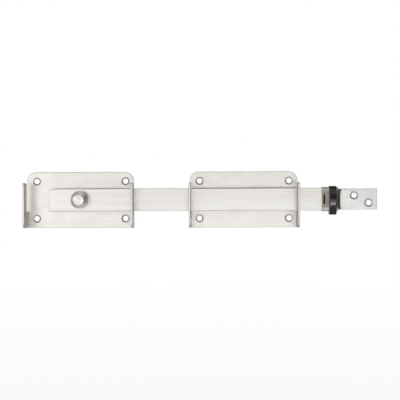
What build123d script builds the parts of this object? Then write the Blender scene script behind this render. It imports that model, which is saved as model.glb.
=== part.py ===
from build123d import *
from math import radians, tan
import os

# Gate latch: a flat bar slides in the hooks of two folded guides and into a socket on a keeper.
# Millimetres. +Z is up, +X runs along the bar towards the keeper and the front faces -Y.
# The mounting plane is Y = 0. The origin is the middle of the left guide's screw holes.
# A "height" below is a distance in front of the mounting plane, so it is measured along -Y.

# Sheet and bends
SHEET = 1.6
BEND_RADIUS = 0.5
EDGE_ROUND = 0.5

# Guides
GUIDE_WIDTH = 96.4
GUIDE_HEIGHT = 50.0
GUIDE_CORNER_RADIUS = 8.0
GUIDE_GAP = 49.3
FLANGE_RISE = 17.0
FLANGE_OVERHANG = 0.4
FLANGE_ABOVE_BAR = 5.0
FLANGE_TOP_RADIUS = 1.5
FLANGE_FOOT_RADIUS = 4.5
HOOK_TIP_RADIUS = 1.5
HOOK_ROOT_RADIUS = 0.7
BEND_RELIEF = 0.4

# Screw holes in the guides and the keeper
HOLE_INSET_X = 8.2
HOLE_INSET_Z = 8.25
HOLE_SHIFT = 0.6
HOLE_DIAMETER = 4.8
COUNTERSINK_DIAMETER = 7.4
COUNTERSINK_ANGLE = 118.0

# Sliding bar
BAR_WIDTH = 20.0
BAR_THICKNESS = 4.0
BAR_TAIL = 27.9
BAR_PROJECTION = 21.1
BAR_CLIP_LENGTH = 4.0
BAR_CLIP_DROP = 1.6
BAR_STANDOFF = 1.4
BAR_PLAY_BELOW = 0.4
BAR_PLAY_FRONT = 0.6

# Knob, and the screw that holds it from behind the bar
KNOB_DIAMETER = 15.4
KNOB_FACE_DIAMETER = 9.5
KNOB_HEIGHT = 9.7
KNOB_GRIP_HEIGHT = 4.6
KNOB_SHOULDER_RADIUS = 0.8
KNOB_RIM_RADIUS = 0.4
KNOB_FOOT_EDGE = 0.3
SCREW_DIAMETER = 5.0
SCREW_HEAD_DIAMETER = 9.2
SCREW_HEAD_ANGLE = 90.0
SCREW_REACH = 6.0
SCREW_RUNOUT = 0.5
SCREW_KEY_WIDTH = 3.0
SCREW_KEY_DEPTH = 1.6
SCREW_EASE = 0.05
SCREW_HOLE_PLAY = 0.15

# Keeper socket
BAR_ENTRY = 0.6
SOCKET_LENGTH = 14.4
SOCKET_WALL = 0.6
SOCKET_END_WALL = 1.2
SOCKET_PLAY = 0.25
SOCKET_INNER_RADIUS = 0.9
SOCKET_OUTER_RADIUS = 2.0
SOCKET_END_RADIUS = 0.8
SOCKET_RIM_ROUND = 0.15
WITNESS_SLOT_WIDTH = 1.5
WITNESS_SLOT_LENGTH = 9.0
WITNESS_SLOT_FROM_MOUTH = 2.1

# Rubber ring round the socket
RING_WIDTH = 6.5
RING_REAR_THICKNESS = 1.45
RING_FRONT_THICKNESS = 2.3
RING_TOP_THICKNESS = 0.85
RING_FOOT_THICKNESS = 3.0
RING_CROWN_RADIUS = 32.0
RING_CORNER_RADIUS = 2.2
RING_FROM_MOUTH = 6.5
RING_EDGE_RADIUS = 0.8
RING_EASE = 0.05

# Keeper bracket
STRIP_WIDTH = 18.6
FOOT_LENGTH = 35.6
STRIP_CORNER_RADIUS = 4.0
FOOT_HOLE_PITCH = 12.9
FOOT_HOLE_STAGGER = 6.6
FOOT_HOLE_MARGIN = 7.45

# Rivets between the socket and the bracket
RIVET_DIAMETER = 2.4
RIVET_SPACING = 12.0
RIVET_HEAD_DIAMETER = 4.2
RIVET_HEAD_HEIGHT = 0.8
RIVET_TAIL_DIAMETER = 3.4
RIVET_TAIL_HEIGHT = 1.0
RIVET_TAIL_ROUND = 0.8
RIVET_EASE = 0.05

# Places that follow from the sizes above
GUIDE_SPACING = GUIDE_WIDTH + 2 * FLANGE_OVERHANG + GUIDE_GAP
HOLE_PITCH_X = GUIDE_WIDTH - 2 * HOLE_INSET_X
HOLE_PITCH_Z = GUIDE_HEIGHT - 2 * HOLE_INSET_Z
BAR_REACH = GUIDE_SPACING - HOLE_SHIFT + GUIDE_WIDTH / 2 + FLANGE_OVERHANG + BAR_PROJECTION
BAR_REAR = SHEET + BAR_STANDOFF
BAR_MIDDLE = BAR_REAR + BAR_THICKNESS / 2
BAR_FRONT = BAR_REAR + BAR_THICKNESS
BEND_END = SHEET + BEND_RADIUS
HOOK_UNDERSIDE = BAR_FRONT + BAR_PLAY_FRONT
HOOK_SEAT = -BAR_WIDTH / 2 - BAR_PLAY_BELOW
FLANGE_TOP = BAR_WIDTH / 2 + FLANGE_ABOVE_BAR
FLANGE_INNER = GUIDE_WIDTH / 2 + FLANGE_OVERHANG - SHEET
SOCKET_MOUTH = BAR_REACH - BAR_ENTRY
SOCKET_END = SOCKET_MOUTH + SOCKET_LENGTH
SOCKET_INNER_WIDTH = BAR_WIDTH + 2 * SOCKET_PLAY
SOCKET_INNER_DEPTH = BAR_THICKNESS + 2 * SOCKET_PLAY
SOCKET_OUTER_WIDTH = SOCKET_INNER_WIDTH + 2 * SOCKET_WALL
SOCKET_OUTER_DEPTH = SOCKET_INNER_DEPTH + 2 * SOCKET_WALL

ON_BASE = (Align.CENTER, Align.CENTER, Align.MIN)
TOUCH = 0.001


def front_plane(height):
    """A plane parallel to the mounting plane: local x is X, local y is Z, its normal faces the front."""
    return Plane.XZ.offset(height)


def along_x(x, height=0.0, z=0.0):
    """A plane across the bar: local x is Y, local y is Z, its normal is +X."""
    return Plane(origin=(x, -height, z), x_dir=(0, 1, 0), z_dir=(1, 0, 0))


def rectangle_between(low_x, low_y, high_x, high_y):
    """A rectangle given by two corners."""
    middle = Pos((low_x + high_x) / 2, (low_y + high_y) / 2)
    return middle * Rectangle(high_x - low_x, high_y - low_y)


def nearest_corner(outline, x, y):
    """The corner of an outline that is nearest to a point."""
    return outline.vertices().sort_by_distance((x, y, 0))[0]


def quarter_bend():
    """The section of a sheet's bend, in the quarter +X, +Y about the bend's centre."""
    outer_radius = BEND_RADIUS + SHEET
    rounds = Circle(outer_radius) - Circle(BEND_RADIUS)
    return rounds & rectangle_between(0, 0, outer_radius, outer_radius)


def rounded_rims(sheet, normal, root_axis, root_place):
    """Rounds the rims of a flat sheet, except where a bend goes on from it at its root."""
    rims = sheet.faces().filter_by(normal).edges()
    at_root = rims.filter_by_position(root_axis, root_place - TOUCH, root_place + TOUCH)
    return fillet(ShapeList(rims - at_root), EDGE_ROUND)


def bend_along_z(section, length):
    """A sheet's bend along Z, with the rims of its two ends rounded."""
    bend = extrude(section, length)
    rims = bend.faces().filter_by(Axis.Z).edges().filter_by(GeomType.CIRCLE)
    return fillet(rims, EDGE_ROUND)


def screw_hole(x, z):
    """A countersunk screw hole through a sheet that lies on the mounting plane."""
    through = HOLE_DIAMETER / 2
    sunk = COUNTERSINK_DIAMETER / 2
    hole = CounterSinkHole(through, sunk, SHEET, COUNTERSINK_ANGLE)
    return front_plane(SHEET) * Pos(x, z) * hole


def hook_outline():
    """The flat hook that holds the bar, seen along X: local x is Y and local y is Z."""
    bottom = -GUIDE_HEIGHT / 2
    root = rectangle_between(-FLANGE_RISE, bottom, -BEND_END, HOOK_SEAT)
    arm = rectangle_between(-FLANGE_RISE, bottom, -HOOK_UNDERSIDE, FLANGE_TOP)
    hook = root + arm
    hook = fillet(nearest_corner(hook, -FLANGE_RISE, FLANGE_TOP), FLANGE_TOP_RADIUS)
    hook = fillet(nearest_corner(hook, -FLANGE_RISE, bottom), FLANGE_FOOT_RADIUS)
    hook = fillet(nearest_corner(hook, -HOOK_UNDERSIDE, FLANGE_TOP), HOOK_TIP_RADIUS)
    return fillet(nearest_corner(hook, -HOOK_UNDERSIDE, HOOK_SEAT), HOOK_ROOT_RADIUS)


def guide_flange():
    """The right-hand flange of a guide, with the bend that joins it to the plate."""
    bottom = -GUIDE_HEIGHT / 2
    bend_centre = Pos(FLANGE_INNER - BEND_RADIUS, -BEND_END, bottom)
    bend = bend_along_z(bend_centre * quarter_bend(), HOOK_SEAT - bottom)
    hook = extrude(along_x(FLANGE_INNER) * hook_outline(), SHEET)
    return bend + rounded_rims(hook, Axis.X, Axis.Y, -BEND_END)


def guide_plate():
    """The flat plate of a guide, cut away at both sides for the bends and their relief."""
    bend_line = FLANGE_INNER - BEND_RADIUS
    outline = Rectangle(GUIDE_WIDTH, GUIDE_HEIGHT)
    outline = fillet(outline.vertices().group_by(Axis.Y)[-1], GUIDE_CORNER_RADIUS)
    gap = rectangle_between(bend_line, -GUIDE_HEIGHT / 2, GUIDE_WIDTH / 2, HOOK_SEAT + BEND_RELIEF)
    outline = outline - gap - mirror(gap, about=Plane.YZ)
    plate = extrude(front_plane(0) * outline, SHEET)
    rims = plate.faces().filter_by(Axis.Y).edges()
    free = rims.filter_by(lambda rim: abs(abs(rim.center().X) - bend_line) > TOUCH)
    return fillet(free, EDGE_ROUND)


def make_guide(holes_x):
    """A guide: one folded sheet with a hook at each end and four screw holes, about the holes' middle."""
    flange = guide_flange()
    guide = guide_plate() + flange + mirror(flange, about=Plane.YZ)
    for x in (-HOLE_PITCH_X / 2, HOLE_PITCH_X / 2):
        for z in (-HOLE_PITCH_Z / 2, HOLE_PITCH_Z / 2):
            guide = guide - screw_hole(x + HOLE_SHIFT, z)
    return Pos(holes_x - HOLE_SHIFT, 0, 0) * guide


def make_slide_bar():
    """The flat bar, with a clipped upper corner at its tail and a countersunk hole behind the knob."""
    top = BAR_WIDTH / 2
    corners = [
        (-BAR_TAIL, -top),
        (BAR_REACH, -top),
        (BAR_REACH, top),
        (BAR_CLIP_LENGTH - BAR_TAIL, top),
        (-BAR_TAIL, top - BAR_CLIP_DROP),
    ]
    outline = make_face(Polyline(*corners, close=True))
    bar = extrude(front_plane(BAR_REAR) * outline, BAR_THICKNESS)
    bar = fillet(bar.edges(), EDGE_ROUND)
    hole_radius = SCREW_DIAMETER / 2 + SCREW_HOLE_PLAY
    head_radius = SCREW_HEAD_DIAMETER / 2 + SCREW_EASE
    hole = CounterSinkHole(hole_radius, head_radius, BAR_THICKNESS, SCREW_HEAD_ANGLE)
    rear = Plane(origin=(0, -BAR_REAR, 0), x_dir=(1, 0, 0), z_dir=(0, 1, 0))
    return bar - rear * hole


def turned(profile, height):
    """Turns a profile, drawn as radius and length, about a line to the front that starts at a height."""
    return Pos(0, -height, 0) * Rot(0, 0, 180) * revolve(profile, Axis.Y)


def make_pull_knob():
    """The turned knob: a plain grip, a cone and a flat face, with a blind hole for its screw."""
    grip = KNOB_DIAMETER / 2
    face = KNOB_FACE_DIAMETER / 2
    outline = [(0, 0), (grip, 0), (grip, KNOB_GRIP_HEIGHT), (face, KNOB_HEIGHT), (0, KNOB_HEIGHT)]
    profile = make_face(Polyline(*outline, close=True))
    profile = fillet(nearest_corner(profile, grip, KNOB_GRIP_HEIGHT), KNOB_SHOULDER_RADIUS)
    profile = fillet(nearest_corner(profile, face, KNOB_HEIGHT), KNOB_RIM_RADIUS)
    profile = chamfer(nearest_corner(profile, grip, 0), KNOB_FOOT_EDGE)
    hole = Cylinder(SCREW_DIAMETER / 2 + SCREW_EASE, SCREW_REACH + SCREW_RUNOUT, align=ON_BASE)
    return turned(profile, BAR_FRONT) - front_plane(BAR_FRONT) * hole


def make_knob_screw():
    """The countersunk screw, flush with the back of the bar, with a hexagon for its key."""
    shank = SCREW_DIAMETER / 2
    head = SCREW_HEAD_DIAMETER / 2
    length = BAR_THICKNESS + SCREW_REACH
    cone = (head - shank) / tan(radians(SCREW_HEAD_ANGLE / 2))
    outline = [(0, 0), (head, 0), (shank, cone), (shank, length), (0, length)]
    screw = turned(make_face(Polyline(*outline, close=True)), BAR_REAR)
    key = RegularPolygon(SCREW_KEY_WIDTH / 2, 6, major_radius=False)
    return screw - extrude(front_plane(BAR_REAR) * key, SCREW_KEY_DEPTH)


def rivet_places():
    """Where the rivets' axes cross the face between the socket and the bracket."""
    return [along_x(SOCKET_END, BAR_MIDDLE, z) for z in (-RIVET_SPACING / 2, RIVET_SPACING / 2)]


def rivet_holes():
    """The holes for the rivets, through the socket's end wall and the bracket's upright."""
    hole = Pos(0, 0, -SOCKET_END_WALL)
    hole = hole * Cylinder(RIVET_DIAMETER / 2 + RIVET_EASE, SOCKET_END_WALL + SHEET, align=ON_BASE)
    return [place * hole for place in rivet_places()]


def make_keeper_bracket():
    """The keeper's folded strip: an upright that carries the socket, and a foot with two holes."""
    side = STRIP_WIDTH / 2
    upright = rectangle_between(-FLANGE_RISE, -side, -BEND_END, side)
    upright = fillet(upright.vertices().group_by(Axis.X)[0], STRIP_CORNER_RADIUS)
    upright = extrude(along_x(SOCKET_END) * upright, SHEET)
    bend_x = SOCKET_END + BEND_END
    bend = Pos(bend_x, -BEND_END, -side) * mirror(quarter_bend(), about=Plane.YZ)
    foot_end = SOCKET_END + FOOT_LENGTH
    foot = extrude(front_plane(0) * rectangle_between(bend_x, -side, foot_end, side), SHEET)
    bracket = rounded_rims(upright, Axis.X, Axis.Y, -BEND_END)
    bracket = bracket + bend_along_z(bend, STRIP_WIDTH)
    bracket = bracket + rounded_rims(foot, Axis.Y, Axis.X, bend_x)
    far_hole = foot_end - FOOT_HOLE_MARGIN
    bracket = bracket - screw_hole(far_hole - FOOT_HOLE_PITCH, FOOT_HOLE_STAGGER / 2)
    bracket = bracket - screw_hole(far_hole, -FOOT_HOLE_STAGGER / 2)
    for hole in rivet_holes():
        bracket = bracket - hole
    return bracket


def socket_section(depth, width, radius):
    """A rounded rectangle across the bar, about the bar's middle line."""
    return Pos(-BAR_MIDDLE, 0) * RectangleRounded(depth, width, radius)


def make_keeper_socket():
    """The blind cup that takes the bar's end, with a witness slot in its front wall."""
    outer = socket_section(SOCKET_OUTER_DEPTH, SOCKET_OUTER_WIDTH, SOCKET_OUTER_RADIUS)
    inner = socket_section(SOCKET_INNER_DEPTH, SOCKET_INNER_WIDTH, SOCKET_INNER_RADIUS)
    socket = extrude(along_x(SOCKET_MOUTH) * outer, SOCKET_LENGTH)
    socket = fillet(socket.faces().sort_by(Axis.X)[-1].edges(), SOCKET_END_RADIUS)
    socket = socket - extrude(along_x(SOCKET_MOUTH) * inner, SOCKET_LENGTH - SOCKET_END_WALL)
    socket = fillet(socket.faces().sort_by(Axis.X)[0].edges(), SOCKET_RIM_ROUND)
    slot = Rot(0, 0, 90) * SlotOverall(WITNESS_SLOT_LENGTH, WITNESS_SLOT_WIDTH)
    slot = front_plane(BAR_MIDDLE) * Pos(SOCKET_MOUTH + WITNESS_SLOT_FROM_MOUTH, 0) * slot
    socket = socket - extrude(slot, SOCKET_OUTER_DEPTH / 2)
    for hole in rivet_holes():
        socket = socket - hole
    return socket


def make_bumper_ring():
    """The rubber ring, stretched round the socket, crowned in front and thicker below."""
    hollow_depth = SOCKET_OUTER_DEPTH + 2 * RING_EASE
    hollow_width = SOCKET_OUTER_WIDTH + 2 * RING_EASE
    front = -BAR_MIDDLE - hollow_depth / 2 - RING_FRONT_THICKNESS
    rear = -BAR_MIDDLE + hollow_depth / 2 + RING_REAR_THICKNESS
    foot = -hollow_width / 2 - RING_FOOT_THICKNESS
    top = hollow_width / 2 + RING_TOP_THICKNESS
    crown = Pos(front + RING_CROWN_RADIUS, (foot + top) / 2) * Circle(RING_CROWN_RADIUS)
    outer = rectangle_between(front, foot, rear, top) & crown
    outer = fillet(outer.vertices(), RING_CORNER_RADIUS)
    place = along_x(SOCKET_MOUTH + RING_FROM_MOUTH)
    ring = extrude(place * outer, RING_WIDTH)
    ring = fillet(ring.faces().filter_by(Axis.X).edges(), RING_EDGE_RADIUS)
    hollow = socket_section(hollow_depth, hollow_width, SOCKET_OUTER_RADIUS + RING_EASE)
    return ring - extrude(place * hollow, RING_WIDTH)


def make_socket_rivets():
    """Two rivets: a flat head inside the socket, and a domed tail behind the bracket's upright."""
    rivets = []
    for place in rivet_places():
        head = Pos(0, 0, -SOCKET_END_WALL - RIVET_HEAD_HEIGHT)
        head = head * Cylinder(RIVET_HEAD_DIAMETER / 2, RIVET_HEAD_HEIGHT, align=ON_BASE)
        shank = Pos(0, 0, -SOCKET_END_WALL)
        shank = shank * Cylinder(RIVET_DIAMETER / 2, SOCKET_END_WALL + SHEET, align=ON_BASE)
        tail = Cylinder(RIVET_TAIL_DIAMETER / 2, RIVET_TAIL_HEIGHT, align=ON_BASE)
        tail = fillet(tail.edges().group_by(Axis.Z)[-1], RIVET_TAIL_ROUND)
        rivets.append(place * (head + shank + Pos(0, 0, SHEET) * tail))
    return Compound(rivets)


PIECES = {
    "left_guide": make_guide(0),
    "right_guide": make_guide(GUIDE_SPACING),
    "slide_bar": make_slide_bar(),
    "pull_knob": make_pull_knob(),
    "knob_screw": make_knob_screw(),
    "keeper_bracket": make_keeper_bracket(),
    "keeper_socket": make_keeper_socket(),
    "socket_rivets": make_socket_rivets(),
    "bumper_ring": make_bumper_ring(),
}

os.makedirs("parts", exist_ok=True)
for name, piece in PIECES.items():
    export_step(piece, f"parts/{name}.step")
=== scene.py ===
"""Looks of the gate latch: its materials, and the light, floor and camera round it."""

import math

import bpy
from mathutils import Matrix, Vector

# Camera: a place in metres, turns in degrees, a lens and a sensor in millimetres. It is level, and
# faces the latch, turned a little to the left.
CAMERA_PLACE = Vector((0.1190, -0.6499, -0.0004))
CAMERA_TILT = 90.0
CAMERA_YAW = 1.07
CAMERA_ROLL = 0.20
CAMERA_LENS = 65.07
SENSOR_WIDTH = 36.0

# Lamps round the latch. Each has an azimuth and an elevation in degrees, seen from the latch, with its
# front at 0, then a width and a height in metres and a power in watts.
LIGHT_TARGET = Vector((0.110, 0.0, 0.0))
LAMP_DISTANCE = 1.25
LAMPS = {
    "key": (-3.0, -6.0, 1.40, 0.40, 3.05),
    "low": (0.0, -17.0, 0.70, 0.40, 0.40),
    "left": (-38.0, 5.0, 0.50, 0.50, 3.10),
    "right": (44.0, -6.0, 0.60, 0.50, 2.00),
    "upper": (2.0, 28.0, 1.40, 0.45, 1.30),
    "spark": (14.2, -11.8, 0.05, 0.05, 0.45),
}

# World: its strength as light, and as the background that is seen
WHITE = (1.0, 1.0, 1.0)
AMBIENT_STRENGTH = 0.35
BACKGROUND_STRENGTH = 1.0

# Floor: a matte disc below the latch and behind it, in metres
MATTE = 0.9
FLOOR_HEIGHT = -0.60
FLOOR_MIDDLE = Vector((0.110, 2.2))
FLOOR_RADIUS = 2.2
FLOOR_SIDES = 96
FLOOR_COLOUR = (0.90, 0.90, 0.89)
FLOOR_GLOW = 0.64

# Dome: a dim half sphere round the camera, in metres. It glows towards its top and, as a pale floor
# would, at its foot, fully below the first height of DOME_FOOT and not at all above the second.
DOME_RADIUS = 1.9
DOME_EDGE = 0.45
DOME_RINGS = 12
DOME_SIDES = 32
DOME_COLOUR = (0.03, 0.03, 0.03)
DOME_GLOW_TOP = 0.14
DOME_GLOW_FOOT = 0.45
DOME_FOOT = (-0.62, -0.22)

# The range that most values of a noise lie in
NOISE_RANGE = (0.30, 0.70)

# Edges, countersinks and folded sides, painted darker than the faces as shade: the painted shade's
# tone, its largest share, and the sizes of the normal's Y between which it fades out.
SIDE_SHADE_TONE = (0.34, 0.31, 0.28)
SIDE_SHADE_SHARE = 0.72
SIDE_SHADE_TURN = (0.78, 0.94)

# Knob: its turning marks, and a quarter of a turn for its gloss
TURNING_SCALE = 650.0
TURNING_WAVER = 0.15
TURNING_DETAIL = 2.0
QUARTER_TURN = 0.25

# Keeper's cup, in metres: it is painted dark inside, as shade, between these depths and heights, and
# outside it is painted brighter towards its ends, as a highlight, between these distances from its
# middle.
CUP_INSIDE_SHADE = (0.030, 0.024, 0.018)
CUP_SHADE_DEPTH = (-0.00720, -0.00245)
CUP_SHADE_HEIGHT = (-0.0103, 0.0103)
CUP_HIGHLIGHT_ENDS = (0.0066, 0.0095)
END_HIGHLIGHT_TONE = (0.620, 0.610, 0.580)
END_HIGHLIGHT_SHARE = 0.80

# Rubber ring: the heights of its waves and of its skin, in metres
RING_WAVES = 0.00012
RING_SKIN = 0.000004


def opaque(colour):
    """A colour with its alpha, for a colour socket."""
    return (*colour, 1.0)


class Nodes:
    """Adds nodes to a material's tree, and links them, in few words."""

    def __init__(self, name):
        self.material = bpy.data.materials.new(name)
        self.material.use_nodes = True
        self.tree = self.material.node_tree
        self.shader = self.tree.nodes["Principled BSDF"]

    def add(self, kind, **settings):
        """A new node with its properties set."""
        node = self.tree.nodes.new(kind)
        for setting, value in settings.items():
            setattr(node, setting, value)
        return node

    def link(self, output, socket):
        """Links an output to an input."""
        self.tree.links.new(output, socket)

    def noise(self, frequency, detail, roughness):
        """Noise in the object's own metres, with a frequency for each axis."""
        coordinates = self.add("ShaderNodeTexCoord")
        mapping = self.add("ShaderNodeMapping")
        mapping.inputs["Scale"].default_value = frequency
        texture = self.add("ShaderNodeTexNoise")
        texture.inputs["Scale"].default_value = 1.0
        texture.inputs["Detail"].default_value = detail
        texture.inputs["Roughness"].default_value = roughness
        self.link(coordinates.outputs["Object"], mapping.inputs["Vector"])
        self.link(mapping.outputs["Vector"], texture.inputs["Vector"])
        return texture.outputs["Fac"]

    def spread(self, value, low, high, source=NOISE_RANGE):
        """Maps a value from a source range to another, and keeps it in there."""
        mapped = self.add("ShaderNodeMapRange")
        mapped.inputs["From Min"].default_value = source[0]
        mapped.inputs["From Max"].default_value = source[1]
        mapped.inputs["To Min"].default_value = low
        mapped.inputs["To Max"].default_value = high
        self.link(value, mapped.inputs["Value"])
        return mapped.outputs["Result"]

    def sum(self, first, second):
        """The sum of two values."""
        adder = self.add("ShaderNodeMath", operation="ADD")
        self.link(first, adder.inputs[0])
        self.link(second, adder.inputs[1])
        return adder.outputs["Value"]

    def times(self, value, factor):
        """A value times a number."""
        product = self.add("ShaderNodeMath", operation="MULTIPLY")
        self.link(value, product.inputs[0])
        product.inputs[1].default_value = factor
        return product.outputs["Value"]

    def both(self, first, second):
        """The product of two values."""
        product = self.add("ShaderNodeMath", operation="MULTIPLY")
        self.link(first, product.inputs[0])
        self.link(second, product.inputs[1])
        return product.outputs["Value"]

    def size(self, value):
        """A value without its sign."""
        absolute = self.add("ShaderNodeMath", operation="ABSOLUTE")
        self.link(value, absolute.inputs[0])
        return absolute.outputs["Value"]

    def part(self, output, axis):
        """One axis of the object's own place or normal."""
        coordinates = self.add("ShaderNodeTexCoord")
        split = self.add("ShaderNodeSeparateXYZ")
        self.link(coordinates.outputs[output], split.inputs["Vector"])
        return split.outputs[axis]

    def within(self, axis, low, high):
        """1 between two places along an axis, and 0 elsewhere."""
        test = self.add("ShaderNodeMath", operation="COMPARE")
        test.inputs[1].default_value = (low + high) / 2
        test.inputs[2].default_value = (high - low) / 2
        self.link(self.part("Object", axis), test.inputs[0])
        return test.outputs["Value"]

    def colours(self, value, dark, light):
        """Gives the shader a base colour that follows a noise value, from dark to light."""
        ramp = self.add("ShaderNodeValToRGB")
        for element, place, colour in zip(ramp.color_ramp.elements, NOISE_RANGE, (dark, light)):
            element.position = place
            element.color = opaque(colour)
        self.link(value, ramp.inputs["Fac"])
        self.link(ramp.outputs["Color"], self.shader.inputs["Base Color"])

    def toned(self, share, colour):
        """Moves the shader's base colour towards another by a share."""
        base = self.shader.inputs["Base Color"]
        mix = self.add("ShaderNodeMix", data_type="RGBA")
        self.link(share, mix.inputs["Factor"])
        self.link(base.links[0].from_socket, mix.inputs["A"])
        mix.inputs["B"].default_value = opaque(colour)
        self.link(mix.outputs["Result"], base)

    def paint_side_shade(self):
        """Paints shade on the faces that look away from the front and the back, by darkening their
        base colour.
        """
        facing = self.size(self.part("Normal", "Y"))
        self.toned(self.spread(facing, SIDE_SHADE_SHARE, 0.0, SIDE_SHADE_TURN), SIDE_SHADE_TONE)

    def bump(self, height, strength, distance):
        """Gives the shader a bump from a height value."""
        bump = self.add("ShaderNodeBump")
        bump.inputs["Strength"].default_value = strength
        bump.inputs["Distance"].default_value = distance
        self.link(height, bump.inputs["Height"])
        self.link(bump.outputs["Normal"], self.shader.inputs["Normal"])

    def grain(self, amount, axis):
        """Makes the gloss follow tooling marks that run round an axis."""
        tangent = self.add("ShaderNodeTangent", direction_type="RADIAL", axis=axis)
        self.shader.inputs["Anisotropic"].default_value = amount
        self.link(tangent.outputs["Tangent"], self.shader.inputs["Tangent"])

    def glow(self, colour, strength):
        """Makes the shader matte and of one colour, with a white glow that follows a value."""
        self.shader.inputs["Base Color"].default_value = opaque(colour)
        self.shader.inputs["Roughness"].default_value = MATTE
        self.shader.inputs["Emission Color"].default_value = opaque(WHITE)
        self.link(strength, self.shader.inputs["Emission Strength"])


def metal(name, dark, light, clouds, marks, roughness):
    """A bare metal, as its nodes and the noise of its marks.

    Its colour follows the clouds and its roughness the marks. Each of these is a noise's frequency,
    detail and roughness.
    """
    nodes = Nodes(name)
    nodes.shader.inputs["Metallic"].default_value = 1.0
    nodes.colours(nodes.noise(*clouds), dark, light)
    marked = nodes.noise(*marks)
    nodes.link(nodes.spread(marked, *roughness), nodes.shader.inputs["Roughness"])
    return nodes, marked


def sheet_steel():
    """Satin cold-rolled sheet, with a faint grain along X."""
    nodes, marked = metal(
        "sheet_steel",
        dark=(0.795, 0.769, 0.731),
        light=(0.890, 0.864, 0.825),
        clouds=((60.0, 60.0, 110.0), 5.0, 0.60),
        marks=((160.0, 900.0, 1600.0), 6.0, 0.65),
        roughness=(0.42, 0.52),
    )
    # painted shade on the edges, countersinks and folded sides
    nodes.paint_side_shade()
    nodes.grain(amount=0.45, axis="X")
    nodes.bump(marked, strength=0.10, distance=0.00010)
    return nodes.material


def bar_steel():
    """Flat bar, brushed lengthwise."""
    nodes, marked = metal(
        "bar_steel",
        dark=(0.705, 0.688, 0.652),
        light=(0.815, 0.797, 0.760),
        clouds=((9.0, 500.0, 1100.0), 5.0, 0.60),
        marks=((14.0, 1500.0, 3200.0), 6.0, 0.70),
        roughness=(0.36, 0.50),
    )
    # painted shade on the bar's edges and narrow sides
    nodes.paint_side_shade()
    nodes.grain(amount=0.35, axis="X")
    nodes.bump(marked, strength=0.22, distance=0.00010)
    return nodes.material


def turned_steel():
    """Knob, with fine turning marks round its axis."""
    nodes, marked = metal(
        "turned_steel",
        dark=(0.480, 0.468, 0.444),
        light=(0.640, 0.626, 0.597),
        clouds=((300.0, 300.0, 300.0), 4.0, 0.55),
        marks=((1200.0, 1200.0, 1200.0), 4.0, 0.60),
        roughness=(0.22, 0.32),
    )
    coordinates = nodes.add("ShaderNodeTexCoord")
    rings = nodes.add(
        "ShaderNodeTexWave", wave_type="RINGS", rings_direction="Y", wave_profile="SIN")
    rings.inputs["Scale"].default_value = TURNING_SCALE
    rings.inputs["Distortion"].default_value = TURNING_WAVER
    rings.inputs["Detail"].default_value = TURNING_DETAIL
    nodes.link(coordinates.outputs["Object"], rings.inputs["Vector"])
    nodes.grain(amount=0.30, axis="Y")
    nodes.shader.inputs["Anisotropic Rotation"].default_value = QUARTER_TURN
    nodes.bump(nodes.sum(rings.outputs["Fac"], marked), strength=0.15, distance=0.00004)
    return nodes.material


def strip_steel():
    """Keeper's strip: matte, tumbled steel."""
    nodes, marked = metal(
        "strip_steel",
        dark=(0.655, 0.649, 0.634),
        light=(0.810, 0.804, 0.789),
        clouds=((180.0, 180.0, 260.0), 6.0, 0.65),
        marks=((700.0, 900.0, 1300.0), 6.0, 0.65),
        roughness=(0.32, 0.46),
    )
    # painted shade on the strip's edges, countersinks and folded sides
    nodes.paint_side_shade()
    nodes.grain(amount=0.50, axis="X")
    nodes.bump(marked, strength=0.18, distance=0.00010)
    return nodes.material


def socket_steel():
    """Keeper's cup: satin steel, dark in its middle, with a painted highlight towards its rounded ends
    and painted shade inside.
    """
    nodes, marked = metal(
        "socket_steel",
        dark=(0.235, 0.208, 0.180),
        light=(0.335, 0.298, 0.255),
        clouds=((220.0, 220.0, 220.0), 6.0, 0.65),
        marks=((900.0, 900.0, 300.0), 6.0, 0.65),
        roughness=(0.38, 0.55),
    )
    from_middle = nodes.size(nodes.part("Object", "Z"))
    # painted highlight: the cup's base colour gets brighter towards its ends
    nodes.toned(nodes.spread(from_middle, 0.0, END_HIGHLIGHT_SHARE, CUP_HIGHLIGHT_ENDS), END_HIGHLIGHT_TONE)
    # painted shade: the inside of the cup is darkened
    shaded_inside = nodes.both(nodes.within("Y", *CUP_SHADE_DEPTH), nodes.within("Z", *CUP_SHADE_HEIGHT))
    nodes.toned(shaded_inside, CUP_INSIDE_SHADE)
    nodes.bump(marked, strength=0.18, distance=0.00010)
    return nodes.material


def fastener_steel():
    """Screw and rivets: plain bright steel, slightly scuffed."""
    nodes, marked = metal(
        "fastener_steel",
        dark=(0.540, 0.535, 0.520),
        light=(0.660, 0.655, 0.640),
        clouds=((400.0, 400.0, 400.0), 5.0, 0.60),
        marks=((1500.0, 1500.0, 1500.0), 5.0, 0.60),
        roughness=(0.24, 0.42),
    )
    nodes.bump(marked, strength=0.12, distance=0.00006)
    return nodes.material


def ring_rubber():
    """Black moulded rubber, slightly glossy. Its bump's heights are in metres already."""
    nodes = Nodes("ring_rubber")
    clouds = nodes.noise((260.0, 260.0, 260.0), detail=5.0, roughness=0.60)
    nodes.colours(clouds, dark=(0.010, 0.010, 0.010), light=(0.020, 0.020, 0.019))
    skin = nodes.noise((1800.0, 1800.0, 1800.0), detail=4.0, roughness=0.60)
    nodes.link(nodes.spread(skin, low=0.15, high=0.24), nodes.shader.inputs["Roughness"])
    waves = nodes.noise((150.0, 150.0, 110.0), detail=1.0, roughness=0.50)
    height = nodes.sum(nodes.times(waves, RING_WAVES), nodes.times(skin, RING_SKIN))
    nodes.bump(height, strength=1.0, distance=1.0)
    return nodes.material


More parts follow.
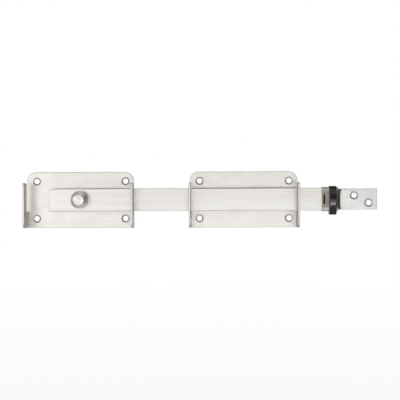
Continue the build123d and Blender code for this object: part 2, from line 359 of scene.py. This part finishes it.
def dress(frame_nodes):
    """Gives each CAD node its material."""
    steel = sheet_steel()
    fastener = fastener_steel()
    finishes = {
        "left_guide": steel,
        "right_guide": steel,
        "slide_bar": bar_steel(),
        "pull_knob": turned_steel(),
        "knob_screw": fastener,
        "keeper_bracket": strip_steel(),
        "keeper_socket": socket_steel(),
        "socket_rivets": fastener,
        "bumper_ring": ring_rubber(),
    }
    for name, material in finishes.items():
        materials = frame_nodes[name].data.materials
        materials.clear()
        materials.append(material)


def add_lamp(name, azimuth, elevation, width, height, power):
    """An oval soft lamp that faces the latch."""
    turn = math.radians(azimuth)
    rise = math.radians(elevation)
    ahead = math.cos(rise)
    direction = Vector((math.sin(turn) * ahead, -math.cos(turn) * ahead, math.sin(rise)))
    lamp = bpy.data.lights.new(name, "AREA")
    lamp.shape = "ELLIPSE"
    lamp.size = width
    lamp.size_y = height
    lamp.energy = power
    holder = bpy.data.objects.new(name, lamp)
    holder.location = LIGHT_TARGET + LAMP_DISTANCE * direction
    holder.rotation_euler = (-direction).to_track_quat("-Z", "Y").to_euler()
    bpy.context.scene.collection.objects.link(holder)


def add_camera():
    """The camera, level and almost straight in front of the latch."""
    camera = bpy.data.cameras.new("camera")
    camera.sensor_fit = "HORIZONTAL"
    camera.sensor_width = SENSOR_WIDTH
    camera.lens = CAMERA_LENS
    holder = bpy.data.objects.new("camera", camera)
    holder.location = CAMERA_PLACE
    turns = (CAMERA_TILT, CAMERA_ROLL, CAMERA_YAW)
    holder.rotation_euler = [math.radians(turn) for turn in turns]
    bpy.context.scene.collection.objects.link(holder)
    bpy.context.scene.camera = holder


def seen_directly(tree):
    """A value that is 1 for rays from the camera, and for those that a gloss or a glass sends on."""
    path = tree.nodes.new("ShaderNodeLightPath")
    first = tree.nodes.new("ShaderNodeMath")
    first.operation = "MAXIMUM"
    second = tree.nodes.new("ShaderNodeMath")
    second.operation = "MAXIMUM"
    tree.links.new(path.outputs["Is Camera Ray"], first.inputs[0])
    tree.links.new(path.outputs["Is Glossy Ray"], first.inputs[1])
    tree.links.new(first.outputs["Value"], second.inputs[0])
    tree.links.new(path.outputs["Is Transmission Ray"], second.inputs[1])
    return second.outputs["Value"]


def add_background(tree, strength):
    """A white background of the given strength."""
    background = tree.nodes.new("ShaderNodeBackground")
    background.inputs["Color"].default_value = opaque(WHITE)
    background.inputs["Strength"].default_value = strength
    return background.outputs["Background"]


def set_world():
    """A white background, which lights the latch only a little."""
    world = bpy.data.worlds.new("studio")
    bpy.context.scene.world = world
    world.use_nodes = True
    tree = world.node_tree
    tree.nodes.clear()
    mix = tree.nodes.new("ShaderNodeMixShader")
    output = tree.nodes.new("ShaderNodeOutputWorld")
    tree.links.new(seen_directly(tree), mix.inputs["Fac"])
    tree.links.new(add_background(tree, AMBIENT_STRENGTH), mix.inputs[1])
    tree.links.new(add_background(tree, BACKGROUND_STRENGTH), mix.inputs[2])
    tree.links.new(mix.outputs["Shader"], output.inputs["Surface"])


def mesh_object(name, corners, faces, material):
    """An object of the given faces and material."""
    mesh = bpy.data.meshes.new(name)
    mesh.from_pydata(corners, [], faces)
    mesh.materials.append(material)
    holder = bpy.data.objects.new(name, mesh)
    bpy.context.scene.collection.objects.link(holder)
    return holder


def add_floor():
    """A pale round floor. It looks white to the camera, and keeps shadows."""
    corners = []
    for side in range(FLOOR_SIDES):
        angle = 2 * math.pi * side / FLOOR_SIDES
        x = FLOOR_MIDDLE.x + FLOOR_RADIUS * math.cos(angle)
        y = FLOOR_MIDDLE.y + FLOOR_RADIUS * math.sin(angle)
        corners.append((x, y, FLOOR_HEIGHT))
    nodes = Nodes("floor")
    nodes.glow(FLOOR_COLOUR, nodes.times(seen_directly(nodes.tree), FLOOR_GLOW))
    floor = mesh_object("floor", corners, [list(range(FLOOR_SIDES))], nodes.material)


def add_dome():
    """A dim dome round the camera, brighter at its top and foot, seen only in reflections."""
    corners = []
    faces = []
    for ring in range(DOME_RINGS + 1):
        tilt = math.pi / 2 * ring / DOME_RINGS
        across = DOME_RADIUS * math.cos(tilt)
        y = DOME_EDGE - DOME_RADIUS * math.sin(tilt)
        for side in range(DOME_SIDES):
            turn = 2 * math.pi * side / DOME_SIDES
            x = LIGHT_TARGET.x + across * math.cos(turn)
            corners.append((x, y, across * math.sin(turn)))
    for ring in range(DOME_RINGS):
        for side in range(DOME_SIDES):
            here = ring * DOME_SIDES + side
            beside = ring * DOME_SIDES + (side + 1) % DOME_SIDES
            faces.append((here, beside, beside + DOME_SIDES, here + DOME_SIDES))
    nodes = Nodes("dome")
    height = nodes.part("Object", "Z")
    top = nodes.spread(height, 0.0, DOME_GLOW_TOP, (0.0, DOME_RADIUS))
    foot = nodes.spread(height, DOME_GLOW_FOOT, 0.0, DOME_FOOT)
    nodes.glow(DOME_COLOUR, nodes.sum(top, foot))
    dome = mesh_object("dome", corners, faces, nodes.material)
    dome.visible_camera = False


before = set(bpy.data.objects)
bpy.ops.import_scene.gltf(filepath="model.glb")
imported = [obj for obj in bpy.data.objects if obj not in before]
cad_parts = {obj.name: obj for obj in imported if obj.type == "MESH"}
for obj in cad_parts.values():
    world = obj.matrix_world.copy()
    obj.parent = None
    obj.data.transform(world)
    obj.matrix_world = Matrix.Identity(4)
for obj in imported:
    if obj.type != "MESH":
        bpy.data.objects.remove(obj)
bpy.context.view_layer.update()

add_camera()
dress(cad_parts)
set_world()
add_floor()
add_dome()
for name, settings in LAMPS.items():
    add_lamp(name, *settings)
bpy.context.scene.view_settings.view_transform = "Standard"
